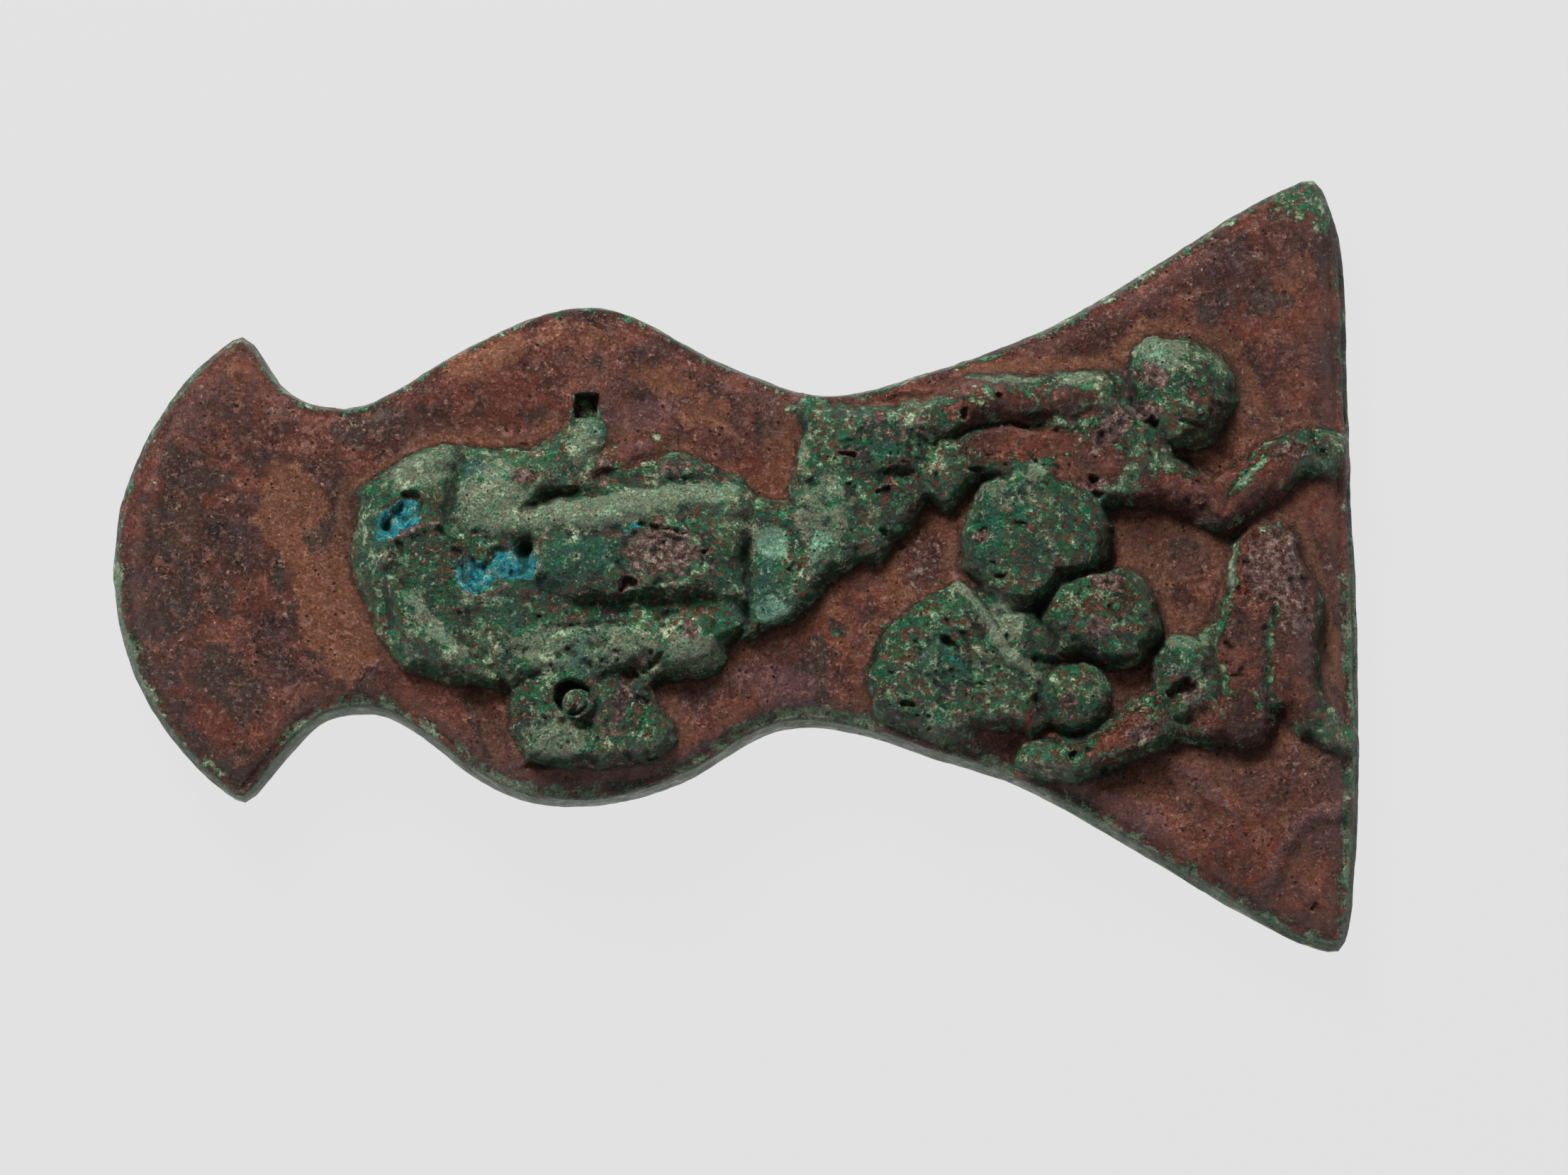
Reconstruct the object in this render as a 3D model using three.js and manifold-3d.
// A cast bronze axe head with figures in high relief, lying on its plain back.
// One solid casting: a crescent butt on the left, a round lobe, a waist and a fan-shaped blade on the right.
// Millimetres, +X from butt to blade, +Y across, +Z up through the figured face.
import * as THREE from 'three';
import Module from 'manifold-3d';
import { ParametricGeometry } from 'three/addons/geometries/ParametricGeometry.js';
import { mergeGeometries, mergeVertices } from 'three/addons/utils/BufferGeometryUtils.js';

const wasm = await Module();
wasm.setup();

const { clamp, degToRad, lerp } = THREE.MathUtils;

// ---------------------------------------------------------------- driving dimensions
const LENGTH = 200; // butt to blade, over everything
const WIDEST_HEIGHT = 6.5; // height of the widest line of the rim over the back
const RIM_BULGE = 2; // how far the rim stands out past the edge of the face
const FOOT_BULGE = 0.6; // how far the foot of the rim stands out past the same edge
const RIM_POWER = 2.6; // 2 is an elliptical rim, more is a squarer one
const MELT = 2.3; // how softly the forms melt into each other and the ground
const ROUNDING = 0.75; // 0.5 gives the forms elliptical sections, more gives them softer feet
const RELIEF = 0.74; // scale of all heights over the ground

const COLUMNS = 80; // cells along the face
const PLAIN_COLUMNS = 7; // how many of them lie on the plain butt, where they are wider
const PLAIN_SHARE = 0.16; // how much of the face's length that is
const ROWS = 46; // cells across it
const RIM_ROWS = 4; // cells round the rim, from the face to the back
const WELD = 1e-4; // vertices closer than this are one

// ---------------------------------------------------------------- curves
// A smooth line through [position, value, slope] stations.
function through(stations) {
  return (at) => {
    let i = 1;
    while (i < stations.length - 1 && at > stations[i][0]) i++;
    const [x0, y0, m0] = stations[i - 1];
    const [x1, y1, m1] = stations[i];
    const width = x1 - x0;
    const t = clamp((at - x0) / width, 0, 1);
    const rise = t * t * (3 - 2 * t);
    const start = t * (1 - t) * (1 - t);
    const end = t * t * (t - 1);
    return y0 + (y1 - y0) * rise + (m0 * start + m1 * end) * width;
  };
}

// ---------------------------------------------------------------- edge of the figured face
const BUTT_CENTRE = new THREE.Vector2(-55, -0.5); // centre of the crescent's arc
const BUTT_RADIUS = LENGTH / 2 + BUTT_CENTRE.x - RIM_BULGE;
const UPPER_HORN_ANGLE = degToRad(125);
const LOWER_HORN_ANGLE = degToRad(236);

const onButt = (angle) =>
  new THREE.Vector2(Math.cos(angle), Math.sin(angle)).multiplyScalar(BUTT_RADIUS).add(BUTT_CENTRE);
const upperHorn = onButt(UPPER_HORN_ANGLE);
const lowerHorn = onButt(LOWER_HORN_ANGLE);
const upperCorner = new THREE.Vector2(92.4, 60.2);
const lowerCorner = new THREE.Vector2(95.8, -60.3);

// Each long side runs horn, notch, lobe, waist, blade corner.
const upperSide = through([
  [upperHorn.x, upperHorn.y, -1],
  [-74, 27.1, -0.85],
  [-62.5, 23.2, 0],
  [-50, 28.6, 0.62],
  [-37, 35.7, 0.46],
  [-23.5, 39.4, 0],
  [-10, 34.2, -0.62],
  [4, 27.7, -0.38],
  [14.5, 25.1, 0],
  [28, 28, 0.33],
  [46.5, 34.4, 0.42],
  [79, 53.3, 0.64],
  [upperCorner.x, upperCorner.y, 0.4],
]);
const lowerSide = through([
  [lowerHorn.x, lowerHorn.y, 1.1],
  [-69, -24.9, 0.8],
  [-59, -22, 0],
  [-44, -30.1, -0.8],
  [-27, -36.9, 0],
  [-9.5, -33.3, 0.42],
  [-1, -28.2, 0.62],
  [11, -24.1, 0],
  [28, -27.7, -0.38],
  [46.5, -33.9, -0.47],
  [83, -54.8, -0.58],
  [lowerCorner.x, lowerCorner.y, -0.25],
]);
const bladeEdge = through([
  [lowerCorner.y, lowerCorner.x, 0.35],
  [-48, 97.4, 0.08],
  [-21, 98, 0],
  [20, 96.7, -0.03],
  [47, 95.8, -0.07],
  [upperCorner.y, upperCorner.x, -0.5],
]);

// The face as a patch stretched between its four edges.
// column runs 0 to 1 from butt to blade, across 0 to 1 from the lower side to the upper side.
const PLAIN_END = PLAIN_COLUMNS / COLUMNS;
function onFace(column, across) {
  const plain = column < PLAIN_END;
  const along = plain
    ? (column / PLAIN_END) * PLAIN_SHARE
    : lerp(PLAIN_SHARE, 1, (column - PLAIN_END) / (1 - PLAIN_END));
  const lowerX = lerp(lowerHorn.x, lowerCorner.x, along);
  const upperX = lerp(upperHorn.x, upperCorner.x, along);
  const bladeY = lerp(lowerCorner.y, upperCorner.y, across);
  return new THREE.Vector2()
    .addScaledVector(new THREE.Vector2(lowerX, lowerSide(lowerX)), 1 - across)
    .addScaledVector(new THREE.Vector2(upperX, upperSide(upperX)), across)
    .addScaledVector(onButt(lerp(LOWER_HORN_ANGLE, UPPER_HORN_ANGLE, across)), 1 - along)
    .addScaledVector(new THREE.Vector2(bladeEdge(bladeY), bladeY), along)
    .addScaledVector(lowerHorn, (along - 1) * (1 - across))
    .addScaledVector(lowerCorner, -along * (1 - across))
    .addScaledVector(upperHorn, (along - 1) * across)
    .addScaledVector(upperCorner, -along * across);
}

// Height of the ground between the figures: thickest at the lobe, thinner towards both ends.
const groundHeight = through([
  [-100, 10.5, 0.1],
  [-60, 15.5, 0.09],
  [-25, 17, 0],
  [15, 15.5, -0.05],
  [60, 13, -0.06],
  [100, 10, -0.1],
]);

// ---------------------------------------------------------------- forms that stand on the ground
// A form gives its height over the ground at a place, and falls below zero outside its outline.
const STEEPNESS = 1.2; // slope with which a form falls away outside its outline
const outside = (gap) => -STEEPNESS * gap;
const rounded = (share, power = 2) => (1 - share ** power) ** ROUNDING;

// A rounded limb through nodes of [x, y, half width, height of crest].
function limb(...nodes) {
  return (x, y) => {
    let best = -Infinity;
    for (let i = 1; i < nodes.length; i++) {
      const [x0, y0, half0, crest0] = nodes[i - 1];
      const [x1, y1, half1, crest1] = nodes[i];
      const dx = x1 - x0;
      const dy = y1 - y0;
      const t = clamp(((x - x0) * dx + (y - y0) * dy) / (dx * dx + dy * dy), 0, 1);
      const distance = Math.hypot(x - x0 - t * dx, y - y0 - t * dy);
      const half = lerp(half0, half1, t);
      const crest = lerp(crest0, crest1, t);
      const share = distance / half;
      best = Math.max(best, share < 1 ? crest * rounded(share) : outside(distance - half));
    }
    return best;
  };
}

// A dome on an ellipse of two half axes, turned by degrees; a higher power gives a flatter top.
function dome(x0, y0, halfLong, halfShort, turn, crest, power = 2) {
  const cosine = Math.cos(degToRad(turn));
  const sine = Math.sin(degToRad(turn));
  return (x, y) => {
    const u = ((x - x0) * cosine + (y - y0) * sine) / halfLong;
    const v = ((y - y0) * cosine - (x - x0) * sine) / halfShort;
    const share = Math.hypot(u, v);
    return share < 1 ? crest * rounded(share, power) : outside((share - 1) * halfShort);
  };
}

// A block on a polygon of [x, y] corners, with a shoulder of the given width rounded over.
function block(crest, shoulder, ...corners) {
  return (x, y) => {
    let nearest = Infinity;
    let inside = false;
    for (let i = 0, j = corners.length - 1; i < corners.length; j = i++) {
      const [x0, y0] = corners[j];
      const [x1, y1] = corners[i];
      const dx = x1 - x0;
      const dy = y1 - y0;
      const t = clamp(((x - x0) * dx + (y - y0) * dy) / (dx * dx + dy * dy), 0, 1);
      nearest = Math.min(nearest, Math.hypot(x - x0 - t * dx, y - y0 - t * dy));
      if (y0 > y !== y1 > y && x < x0 + ((y - y0) / dy) * dx) inside = !inside;
    }
    if (!inside) return outside(nearest);
    return crest * rounded(Math.max(1 - nearest / shoulder, 0));
  };
}

// ---------------------------------------------------------------- marks that swell or dent the forms
// A mark adds its height to whatever it lies on, and is zero outside its outline.
const swell = (share) => (share < 1 ? (1 - share * share) ** 2 : 0);

// A fold or groove through nodes of [x, y, half width, height], with a negative height for a groove.
function fold(...nodes) {
  return (x, y) => {
    let best = 0;
    for (let i = 1; i < nodes.length; i++) {
      const [x0, y0, half0, height0] = nodes[i - 1];
      const [x1, y1, half1, height1] = nodes[i];
      const dx = x1 - x0;
      const dy = y1 - y0;
      const t = clamp(((x - x0) * dx + (y - y0) * dy) / (dx * dx + dy * dy), 0, 1);
      const distance = Math.hypot(x - x0 - t * dx, y - y0 - t * dy);
      const height = lerp(height0, height1, t) * swell(distance / lerp(half0, half1, t));
      if (Math.abs(height) > Math.abs(best)) best = height;
    }
    return best;
  };
}

// A round or oval swelling, or a pit with a negative height.
function spot(x0, y0, halfLong, halfShort, turn, height) {
  const cosine = Math.cos(degToRad(turn));
  const sine = Math.sin(degToRad(turn));
  return (x, y) => {
    const u = ((x - x0) * cosine + (y - y0) * sine) / halfLong;
    const v = ((y - y0) * cosine - (x - x0) * sine) / halfShort;
    return height * swell(Math.hypot(u, v));
  };
}

// ---------------------------------------------------------------- seated figure on the lobe
// Frontal, in a long robe, head towards the butt and feet towards the blade.
const seatedForms = [
  // the whole draped body
  block(
    4.8, 4.4,
    [-61, 1], [-60.5, 9], [-57, 15], [-51, 17.8], [-44, 18.6], [-31, 18], [-20, 15.4], [-8, 17.4],
    [0, 14], [2.6, 10], [2.6, -11.6], [-2, -16], [-8, -19.5], [-22, -19.5], [-36, -21], [-46, -20.5],
    [-53, -18], [-58, -11], [-60.5, -4]
  ),
  // the veil round the head, the head under it, and the veil's two edges
  block(
    7.6, 5,
    [-59, 3], [-57.8, 10], [-53, 15], [-47, 17], [-44.4, 11], [-43.6, 2], [-42.6, -8], [-41, -17.6],
    [-47, -19.2], [-52, -17], [-55.4, -11], [-56.4, -3]
  ),
  dome(-52.5, 7, 8, 8, 90, 8.4, 2.6),
  limb([-57.4, 11, 2.6, 6.2], [-51, 14.4, 3.2, 7], [-45.5, 16, 2.6, 6.2]),
  limb(
    [-57, -2, 2.4, 6], [-53, -8, 3.2, 7.6], [-48.5, -12.8, 3.4, 8], [-44, -16.4, 3, 6.9],
    [-39, -18.5, 2.4, 5]
  ),
  // shoulders
  dome(-38.4, 10, 8, 7.6, 0, 7.6, 2.3),
  dome(-40, -3, 10, 9.4, 0, 7.6, 2.6),
  // raised arm, with the hand flat on the ground
  limb(
    [-38, 10, 4, 7], [-31, 13.6, 4.4, 7.4], [-26.8, 16.2, 4.2, 6], [-24.2, 19.6, 3.8, 3],
    [-23.6, 24, 3.4, 1]
  ),
  // hem across the knees, the lap below it and its lower side
  limb([-37, 6, 4, 7.6], [-26, 6, 5, 8.4], [-16, 7.4, 5.2, 8.8], [-8, 9, 5, 8.2], [-1.5, 8.4, 4.4, 6.8]),
  block(8.4, 4.4, [-34, 6], [-18, 8.4], [-5, 9], [2.6, 6], [2.6, -6.6], [-10, -7.8], [-26, -7], [-34, -4]),
  block(
    7, 4.4,
    [-41, -9], [-30, -9], [-10, -9], [1.6, -9.4], [1, -12.4], [-4, -17], [-9, -19.4], [-14, -18.6],
    [-22, -19.6], [-36, -20.4], [-41, -17]
  ),
  dome(-8, -13.4, 7.4, 6.2, -8, 7, 2.6),
  // end of the sleeve and the robe beside it
  limb([-22.5, 14.4, 3, 4.4], [-17.4, 16.8, 2.8, 3.4], [-13, 19.6, 2.4, 1.6]),
  dome(-11, 14, 7, 3.6, 12, 5.6),
];
const seatedMarks = [
  fold([-42, 18, 1.6, -0.7], [-44.2, 13, 1.8, -1.1], [-46.2, 8, 1.7, -1.1], [-47, 4.4, 1.4, -0.6]), // neck
  // in the veil
  fold([-49, -1, 2.4, -0.6], [-46.6, -8, 2.6, -1.5], [-42, -14, 2.2, -1.7], [-38, -17.4, 2, -0.7]),
  fold([-54, 1, 1.6, -1.4], [-56, -4, 1.6, -1.4], [-55.8, -11, 1.4, -1]), // outside the veil
  // under the lap
  fold([-38, -6.6, 2.2, -0.6], [-28, -7.8, 2.8, -0.9], [-14, -8.2, 2.8, -1.1], [1, -9, 2, -0.5]),
  // under the arm
  fold([-34.6, 7.8, 1.1, -0.9], [-31, 9.2, 1.9, -2], [-26, 10.6, 1.9, -2], [-21.6, 11.4, 1.4, -0.9]),
  fold([-21, 13.2, 1.4, -1.4], [-14, 12.6, 1.6, -1], [-6, 13.6, 1.6, -0.9]), // above the hem
  fold([-33, 2.6, 2, -1], [-24, 3.4, 2.4, -1.2], [-15, 6, 2.2, -0.6]), // below the hem
  spot(-53.5, 6.6, 5.6, 3.4, 45, -2.6), // hollow in the head
  spot(-41.5, -1.6, 4.4, 4.6, 0, -2), // hollow in the breast
  spot(-35.4, 0.4, 4.6, 3.4, 10, -2.6), // its deeper end
  spot(-11, 0.5, 9, 6, 0, -0.8), // worn-away skin of the lap
];

// The lower hand rests on a disc.
const discForms = [
  block(
    5.4, 2.8,
    [-35.8, -20], [-36, -27], [-33.6, -32], [-27, -33.8], [-19.5, -33.6], [-12.4, -32.2], [-9.6, -28.5],
    [-11.5, -23], [-13, -17], [-30, -15]
  ),
  dome(-26.3, -22.3, 7.6, 7, 0, 6.8, 3),
  dome(-28, -28, 6.6, 4.6, 10, 6.4, 2.4),
  dome(-14.5, -27.4, 4.2, 4.2, 0, 6, 2.4),
];
const discMarks = [
  fold([-15.5, -16, 2.2, -1], [-17.4, -22, 2.4, -1.4], [-19.6, -28, 2, -1]), // between hand and disc
  fold([-38.4, -20, 1.8, 0.5], [-36.8, -27, 1.8, 0.9], [-34.8, -32, 1.6, 0.6]), // low ridge beside it
  fold([-41, -21, 2.6, -0.7], [-40, -28, 2.6, -1], [-37, -34, 2.2, -0.6]), // valley beside the ridge
];

// Step that the feet rest on, between lobe and waist.
const stepForms = [
  block(5, 3, [0.6, 12], [3, 10], [7, 10], [13, 9.6], [15, 2], [14, -5], [9.4, -10], [1.2, -13.4]),
];
const stepMarks = [
  spot(5.8, 2.4, 3.4, 4, 0, -1),
  spot(6, -8, 3, 3, 0, -0.9),
];

// ---------------------------------------------------------------- falling figure on waist and blade
// Head down towards the blade, one arm along the upper side, the other flung out to the edge.
const fallingForms = [
  // hair or cloth over the waist
  block(
    5, 4,
    [10, 26.5], [11, 19], [9, 12], [10, 5], [12.5, -5], [15.5, -4], [19.5, 0.4], [22.5, 0.2], [27, 4],
    [31, 9], [36, 11.6], [39, 18], [38, 23], [33, 25], [20, 25.5]
  ),
  dome(16.4, 9.5, 6, 8.4, 0, 6.4, 2.3),
  dome(24.5, 18.2, 7.4, 5.6, 5, 7, 2.4),
  // hand, forearm and upper arm
  limb([14, 22.5, 3, 4.6], [24, 20.6, 3.8, 6], [33, 22.6, 4.4, 6.8]),
  limb(
    [33, 22.6, 4.4, 6.8], [38.5, 25, 4.8, 8], [46, 25.6, 4.8, 8], [58, 26, 4.4, 7.4],
    [60.4, 26.6, 3.6, 6]
  ),
  // ribs, breast and neck
  block(
    5.6, 4,
    [29, 11], [31, 20], [38, 24], [62, 25], [70, 19], [71, 12], [65, 8], [57, 7], [50, 12], [40, 14],
    [33, 7]
  ),
  dome(60, 18.6, 9.4, 8, 0, 7, 2.8),
  dome(46, 18, 9, 5.4, 4, 6, 2.6),
  limb([61, 24, 3, 6], [66, 21, 3, 5], [69, 18, 2.6, 4]),
  // head and jaw
  dome(71.4, 28.2, 9.2, 8.8, -34, 8.8, 2.4),
  dome(72.9, 24.3, 5.8, 6.4, -34, 8.8, 2.3),
  // lower arm, forearm and hand
  limb([60.5, 15, 4.8, 6], [66, 13.8, 4.8, 6], [72, 11.6, 4.8, 5.8], [78, 9.4, 4.6, 5.6]),
  limb(
    [78, 9.4, 4.6, 5.6], [82, 12, 4.4, 5.6], [87, 15.6, 4.4, 5.4], [92, 17.8, 4.2, 4.8],
    [96.8, 18.2, 3.8, 3.6]
  ),
];
const fallingMarks = [
  fold([19.6, 26.4, 1.7, -1.4], [33.4, 26.6, 1.7, -1.4]), // groove along the rim
  fold([14, 14, 1.6, -0.6], [22, 13.4, 1.8, -0.9], [29, 14, 1.6, -0.7]), // in the hair
  fold([36, 20.2, 1.8, -0.9], [44, 21.2, 1.8, -1.1], [54, 21.2, 1.7, -0.8]), // between arm and ribs
  spot(66.4, 22.2, 2.2, 2, 0, -1.8), // neck
  spot(59.5, 21, 4.8, 2.8, 50, -0.9), // broken shoulder
  spot(88.5, 17.6, 4.2, 2.4, 20, -0.8), // broken hand
];

// Round forms of its trunk, from the belly to the hips.
const trunkForms = [
  block(
    8.4, 4,
    [36.4, 0], [36, 7.6], [38.8, 13], [45, 16.4], [52, 16], [57.6, 12], [60.4, 5.4], [59.4, 0],
    [53, -4.6], [47, -8.6], [41, -6.6]
  ),
  dome(46.6, 5.4, 9.4, 9, 0, 9.6, 2.2),
  dome(48.6, 13.8, 3, 2.6, 0, 7.4),
  block(
    7.2, 3.6,
    [50, -3.6], [56, -0.8], [63.4, -1.6], [68, -6.4], [69, -11], [65.2, -16.4], [59.6, -17.4],
    [52, -14.8], [48.8, -9]
  ),
  dome(59, -8.6, 7.4, 6.2, -18, 8, 2.2),
  dome(54.2, -21.8, 6.6, 5.6, 0, 6.4, 2.5),
];
const trunkMarks = [
  spot(41.6, 11, 3.4, 3, 30, 0.9),
  spot(44.6, 1.2, 4, 2.6, -20, 0.8),
  spot(55.4, 9, 3.4, 4, 0, -0.9),
  spot(59, -6, 5, 3, -30, -0.9),
  spot(64.4, -10.6, 3.4, 3, 20, 0.8),
  fold([42, -8, 1.9, -1], [51, -4, 1.9, -1.3], [60, 0.2, 1.9, -1]), // between belly and hips
];

// Fan of cloth on its back, with a raised edge.
const fanForms = [
  block(
    5, 4.2,
    [21.6, -17], [22.6, -12], [26, -8], [31, -4.8], [36, -2.6], [40, -5.6], [46, -13], [50, -18],
    [50.6, -26], [48, -29], [43, -27], [37, -28.8], [30, -30.2], [24, -26.4]
  ),
  dome(44.6, -11, 5.6, 9.4, 40, 6.2, 2.6),
  dome(27.6, -20, 6.6, 8.4, 0, 5.6, 2.6),
  dome(40, -22, 9.4, 6, -12, 5.8, 2.6),
];
const PLEATS = 3;
const fanMarks = [
  fold([36, -4, 1.8, 0.7], [43.6, -14, 1.9, 1], [48.6, -19, 1.8, 0.8]), // raised edge
];
for (let pleat = 0; pleat < PLEATS; pleat++) {
  const share = (pleat + 0.5) / PLEATS;
  fanMarks.push(
    fold(
      [lerp(34, 23.4, share), lerp(-4.6, -20, share), 1.4, -0.3],
      [lerp(38, 30, share), lerp(-10.6, -22, share), 1.9, -0.9],
      [lerp(43.5, 40, share), lerp(-17.6, -25, share), 1.6, -0.5]
    )
  );
}

// Bent legs: one drawn up under the fan, one folded at the knee beside the blade edge.
const legForms = [
  limb(
    [47.6, -32, 3, 4.6], [53, -31.4, 4, 6], [58.6, -29.6, 4.2, 6.6], [65, -26.8, 4.2, 6.8],
    [70.6, -22.6, 3.8, 6.4]
  ),
  dome(71.4, -16.2, 5, 4.6, 0, 7.2, 2.4),
  dome(72.4, -21.4, 5.4, 5.2, 0, 6.6, 2.6),
  limb([70, -25, 2.8, 4.4], [76, -27, 3.6, 5], [81, -26.2, 4, 5]),
  block(
    5.8, 4.4,
    [73.4, -12.5], [75.6, -8.6], [76.8, -3], [79.2, 2.6], [82.6, 6.4], [86.6, 6.8], [90.6, 4.6],
    [93.2, -1], [94, -9], [93.6, -16], [90, -20], [86.4, -26], [83, -29], [78, -30], [73.4, -27]
  ),
  limb(
    [89, -7, 4.4, 6], [89, -14, 4, 5.6], [89.4, -20.6, 3.6, 5], [92, -25.6, 3.2, 4],
    [97.6, -28, 2.8, 2.6]
  ),
];
const legMarks = [
  spot(64.5, -27, 3.6, 2, 35, -0.9), // broken shin
  spot(71.5, -20.2, 2.6, 2.2, 0, -2.6), // hole in the heel
  fold([85.4, -9, 1.6, -0.6], [85.4, -16, 1.8, -1.2], [85.6, -23, 1.8, -1]), // between thigh and shin
  spot(86, -0.6, 6, 4.6, 75, -0.7), // broken knee
];

// Low steps and hollows in the ground, and the plain notch beside the seated figure's feet.
const groundMarks = [
  fold([65, -29.5, 2.4, 0.8], [75, -34.6, 2.8, 1.2], [79.4, -39.4, 2.6, 1.1], [82, -46, 2.2, 0.7]),
  fold([98, -39, 2.2, 0.9], [91, -41.2, 2.4, 1.1], [87.4, -46, 2.4, 1.1], [84.6, -52, 2, 0.6]),
  spot(66, -37, 9, 4.4, -32, -1.3),
  spot(91, -49, 6, 4, -50, -0.8),
  spot(43.4, -30.4, 5.6, 3.8, -10, -1.6),
  spot(69, 0, 9, 8, -30, -1.4),
  spot(95.4, -14, 2.4, 10, 8, -1.1),
  spot(6.4, 18, 5, 10, -5, -0.9),
  fold([70, 39, 3, -0.6], [80, 34.4, 3, -0.7], [85, 25, 2.6, -0.6]),
  fold([36, 31.6, 1.8, -0.7], [50, 32.2, 2, -0.7], [60, 33, 1.8, -0.6]),
  fold([-62, 12, 3.4, -0.7], [-64, 0, 3.4, -0.8], [-60.6, -13, 3.8, -0.8], [-52, -22, 3.4, -0.7]),
  fold([-52, 20.8, 3.2, -0.5], [-38, 21.8, 3.2, -0.6], [-29, 23, 2.2, -0.4]),
];

const forms = [
  ...seatedForms, ...discForms, ...stepForms, ...fallingForms, ...trunkForms, ...fanForms, ...legForms,
];
const marks = [
  ...seatedMarks, ...discMarks, ...stepMarks, ...fallingMarks, ...trunkMarks, ...fanMarks, ...legMarks,
  ...groundMarks,
];

function smoothMax(a, b) {
  const overlap = Math.max(MELT - Math.abs(a - b), 0) / MELT;
  return Math.max(a, b) + (overlap * overlap * MELT) / 4;
}

function faceHeight(x, y) {
  const relief = forms.reduce((height, form) => smoothMax(height, form(x, y)), 0);
  const marked = marks.reduce((height, mark) => height + mark(x, y), relief);
  return groundHeight(x) + RELIEF * marked;
}

// ---------------------------------------------------------------- the casting
const faceGeometry = new ParametricGeometry(
  (column, across, target) => {
    const { x, y } = onFace(column, across);
    target.set(x, y, faceHeight(x, y));
  },
  COLUMNS,
  ROWS
);

// Each cell is two triangles. They meet along the diagonal whose ends are closer in height, so that the facets
// follow the walls of the forms.
const heights = faceGeometry.attributes.position;
const corners = faceGeometry.index.array;
for (let cell = 0; cell < corners.length; cell += 6) {
  const [a, b, d, , c] = corners.slice(cell, cell + 6);
  const rise = (from, to) => Math.abs(heights.getZ(from) - heights.getZ(to));
  if (rise(a, c) < rise(b, d)) corners.set([a, b, c, a, c, d], cell);
}

// The edge of the face in order, anticlockwise from the lower horn.
const faceEdge = [];
for (let i = 0; i < COLUMNS; i++) faceEdge.push(onFace(i / COLUMNS, 0));
for (let j = 0; j < ROWS; j++) faceEdge.push(onFace(1, j / ROWS));
for (let i = COLUMNS; i > 0; i--) faceEdge.push(onFace(i / COLUMNS, 1));
for (let j = ROWS; j > 0; j--) faceEdge.push(onFace(0, j / ROWS));

const wrap = (i) => faceEdge[(i + faceEdge.length) % faceEdge.length];
function outward(i) {
  const before = wrap(i).clone().sub(wrap(i - 1)).normalize();
  const after = wrap(i + 1).clone().sub(wrap(i)).normalize();
  const tangent = before.add(after).normalize();
  return new THREE.Vector2(tangent.y, -tangent.x);
}

// A point of the rim over edge point i, down 0 at the face to 1 at the back.
function onRim(i, down, target) {
  const angle = down * Math.PI;
  const reach = Math.sin(angle) ** (2 / RIM_POWER);
  const drop = Math.abs(Math.cos(angle)) ** (2 / RIM_POWER);
  const { x, y } = wrap(i);
  const top = faceHeight(x, y);
  const upper = down <= 0.5;
  const bulge = upper ? RIM_BULGE * reach : lerp(FOOT_BULGE, RIM_BULGE, reach);
  const height = upper ? lerp(WIDEST_HEIGHT, top, drop) : WIDEST_HEIGHT * (1 - drop);
  const direction = outward(i);
  target.set(x + direction.x * bulge, y + direction.y * bulge, height);
}
const rimGeometry = new ParametricGeometry(
  (around, down, target) => onRim(Math.round(around * faceEdge.length), 1 - down, target),
  faceEdge.length,
  RIM_ROWS
);

// The flat back, drawn mirrored and turned over so that it faces down.
const footOutline = faceEdge.map((_, i) => {
  const foot = new THREE.Vector3();
  onRim(i, 1, foot);
  return new THREE.Vector2(foot.x, -foot.y);
});
const backGeometry = new THREE.ShapeGeometry(new THREE.Shape(footOutline));
backGeometry.rotateX(Math.PI);

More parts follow.
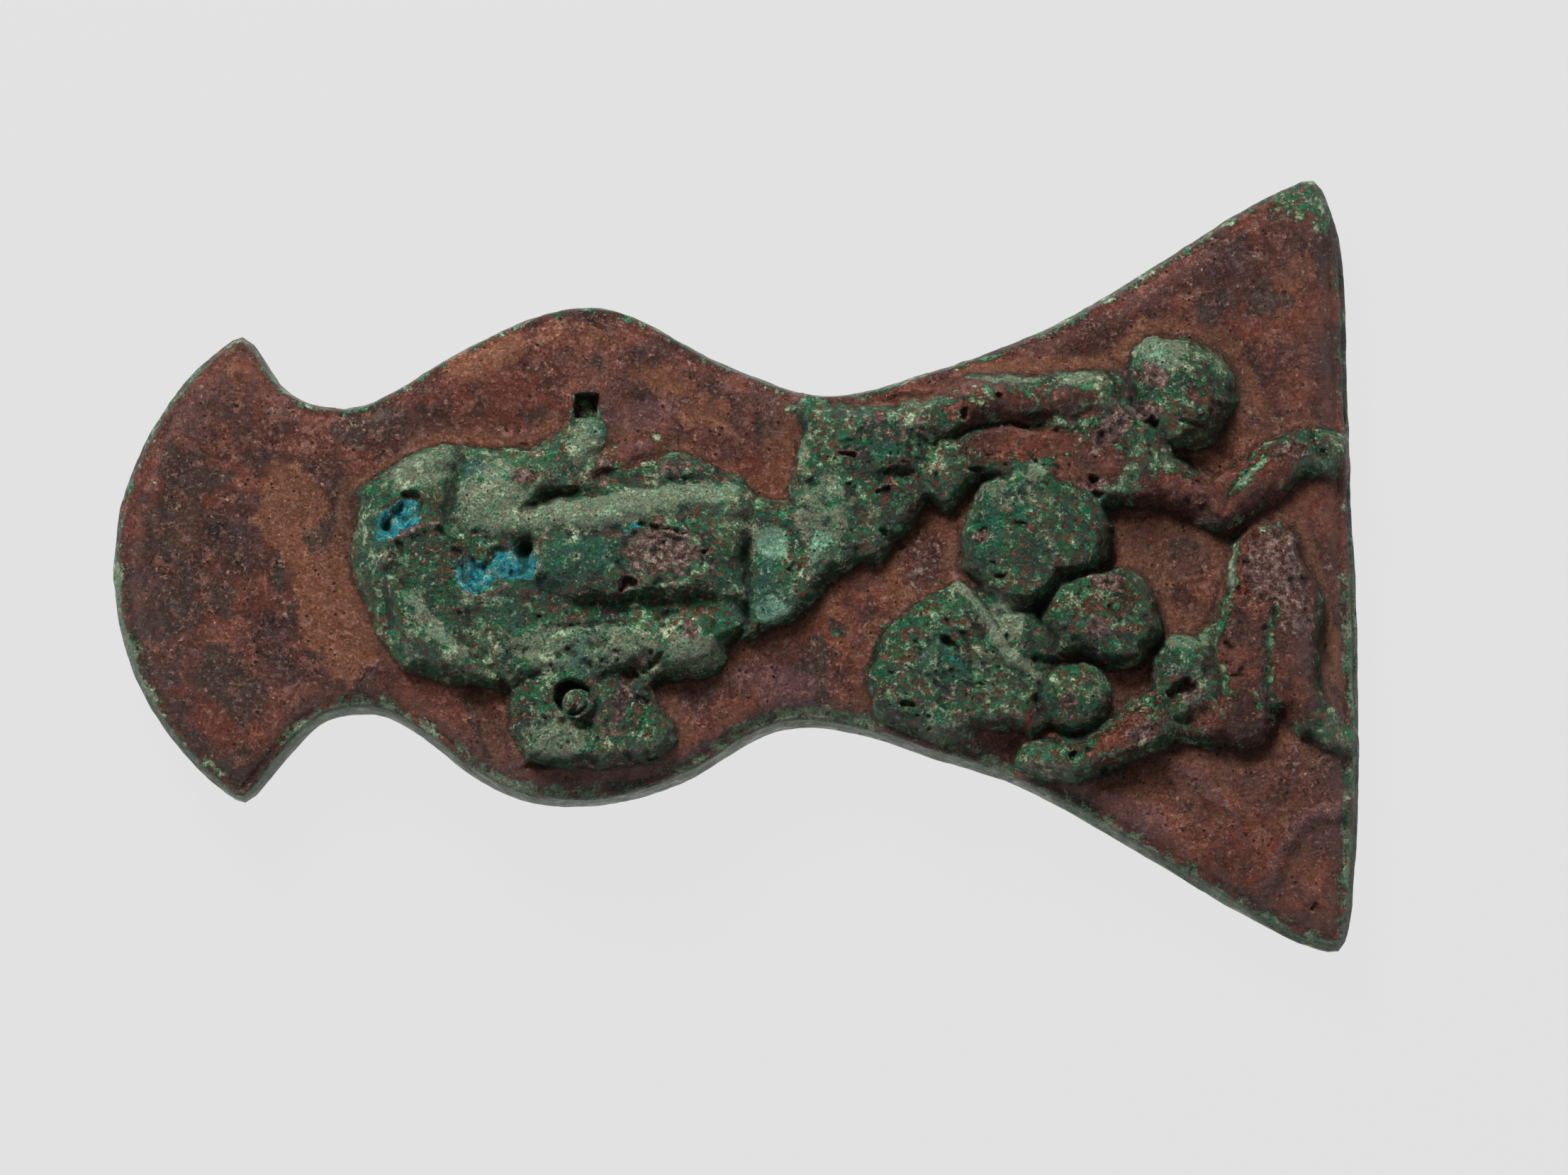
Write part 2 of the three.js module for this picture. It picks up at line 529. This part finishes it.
// A closed mesh as a solid that can be joined and cut.
function solidOf(geometry) {
  geometry.deleteAttribute('normal');
  geometry.deleteAttribute('uv');
  const { index, attributes } = mergeVertices(geometry, WELD);
  const triVerts = new Uint32Array(index.array);
  const mesh = { numProp: 3, vertProperties: attributes.position.array, triVerts };
  return new wasm.Manifold(new wasm.Mesh(mesh));
}

const plate = solidOf(mergeGeometries([faceGeometry, rimGeometry, backGeometry]));

// Square socket in the ground at the fingertips.
const SOCKET = { x: -23.8, y: 24.7, wide: 4.2, deep: 3 };
const socketGeometry = new THREE.BoxGeometry(SOCKET.wide, SOCKET.wide, 2 * SOCKET.deep);
socketGeometry.translate(SOCKET.x, SOCKET.y, faceHeight(SOCKET.x, SOCKET.y));

// Round hole in the disc with the stub of a pin corroded fast in it, to one side.
const HOLE = { x: -26, y: -22.1, radius: 3, deep: 2.7 };
const PIN = { x: -25, y: -23.1, radius: 2.6, proud: 0.8, chamfer: 0.8 };
const SIDES = 16;
const holeTop = faceHeight(HOLE.x, HOLE.y);
const holeBottom = holeTop - HOLE.deep;
const upright = (x, y, lowRadius, highRadius, bottom, top) =>
  new THREE.CylinderGeometry(highRadius, lowRadius, top - bottom, SIDES)
    .rotateX(Math.PI / 2)
    .translate(x, y, (bottom + top) / 2);
const pinTop = holeTop + PIN.proud;
const pinShoulder = pinTop - PIN.chamfer;
const holeCutter = upright(HOLE.x, HOLE.y, HOLE.radius, HOLE.radius, holeBottom, holeTop + HOLE.deep);
const pinStem = upright(PIN.x, PIN.y, PIN.radius, PIN.radius, holeBottom - PIN.chamfer, pinShoulder);
const pinCrown = upright(PIN.x, PIN.y, PIN.radius, PIN.radius - PIN.chamfer, pinShoulder, pinTop);

const casting = plate
  .subtract(solidOf(socketGeometry))
  .subtract(solidOf(holeCutter))
  .add(solidOf(pinStem))
  .add(solidOf(pinCrown));

const result = casting.getMesh();
const geometry = new THREE.BufferGeometry();
geometry.setAttribute('position', new THREE.BufferAttribute(result.vertProperties, 3));
geometry.setIndex(new THREE.BufferAttribute(result.triVerts, 1));
geometry.computeVertexNormals();

const bronze = new THREE.MeshStandardMaterial({ color: 0x6b3a2c, roughness: 0.5, metalness: 0.6 });
const axeHead = new THREE.Mesh(geometry, bronze);
axeHead.name = 'axe_head';

const part = new THREE.Group();
part.add(axeHead);

export default part;
